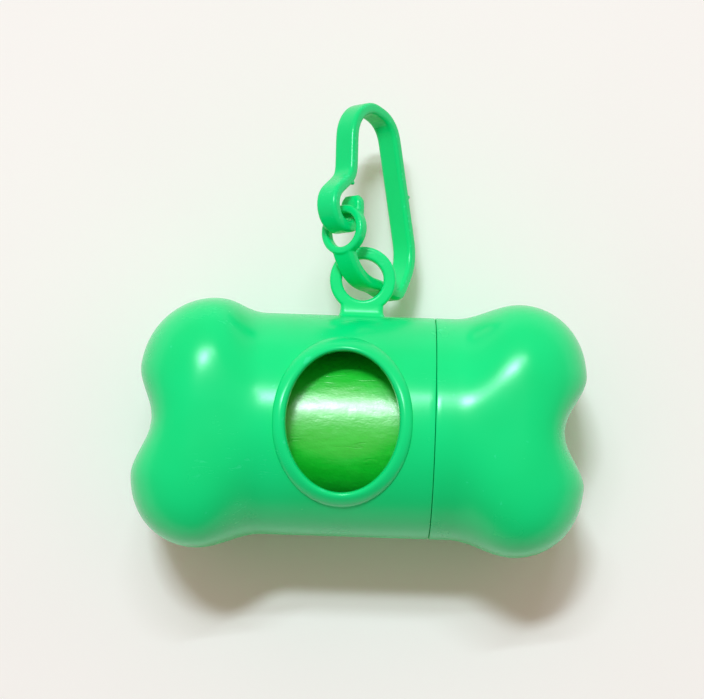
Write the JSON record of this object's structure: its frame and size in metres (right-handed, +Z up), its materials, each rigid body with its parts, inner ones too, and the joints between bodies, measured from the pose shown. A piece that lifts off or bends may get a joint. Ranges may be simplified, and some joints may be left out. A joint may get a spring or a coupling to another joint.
{
  "type": "dog poop bag dispenser",
  "caption": "Hollow bone-shaped dispenser for a roll of waste bags, with an oval window, a screw cap, an eye and a plastic snap clip.",
  "frame": {"origin": "on the surface that the dispenser lies on, straight under the middle of the bone's axis", "axes": "+X along the bone towards the screw cap, +Y towards the eye and the clip, +Z up out of the bag window"},
  "size_m": [0.0867, 0.0884, 0.0446],
  "materials": {
    "case_plastic": "smooth glossy moulded plastic, spring green",
    "clip_plastic": "glossy flexible moulded plastic, spring green",
    "bag_film": "thin wrinkled polyethylene film, yellower green",
    "core_card": "plain spiral-wound card"
  },
  "bodies": {
    "case": {"body_shell": "case_plastic"},
    "core": {"roll_core": "core_card"},
    "cap": {"cap_shell": "case_plastic"},
    "roll": {"bag_01": "bag_film", "bag_02": "bag_film", "bag_03": "bag_film", "bag_04": "bag_film", "bag_05": "bag_film", "bag_06": "bag_film", "bag_07": "bag_film", "bag_08": "bag_film", "bag_09": "bag_film", "bag_10": "bag_film", "bag_11": "bag_film", "bag_12": "bag_film", "bag_13": "bag_film", "bag_14": "bag_film", "bag_15": "bag_film"},
    "clip": {"snap_clip": "clip_plastic"}
  },
  "joints": [
    {"name": "cap_draw", "type": "slide", "parent": "case", "child": "core", "axis": [1, 0, 0], "range_m": [0, 0.0121]},
    {"name": "cap_turn", "type": "hinge", "parent": "core", "child": "cap", "pos_m": [0.0142, 0, 0.0219], "axis": [1, 0, 0], "range_deg": [0, 540]},
    {"name": "roll_spin", "type": "hinge", "parent": "core", "child": "roll", "pos_m": [0, 0, 0.0201], "axis": [1, 0, 0], "continuous": true},
    {"name": "clip_swing", "type": "hinge", "parent": "case", "child": "clip", "pos_m": [0, 0.0286, 0.0219], "axis": [1, 0, 0], "range_deg": [0, 55]}
  ],
  "couplings": [
    {"joint": "cap_draw", "follows": "cap_turn", "m_per_rad": 0.0012732}
  ]
}
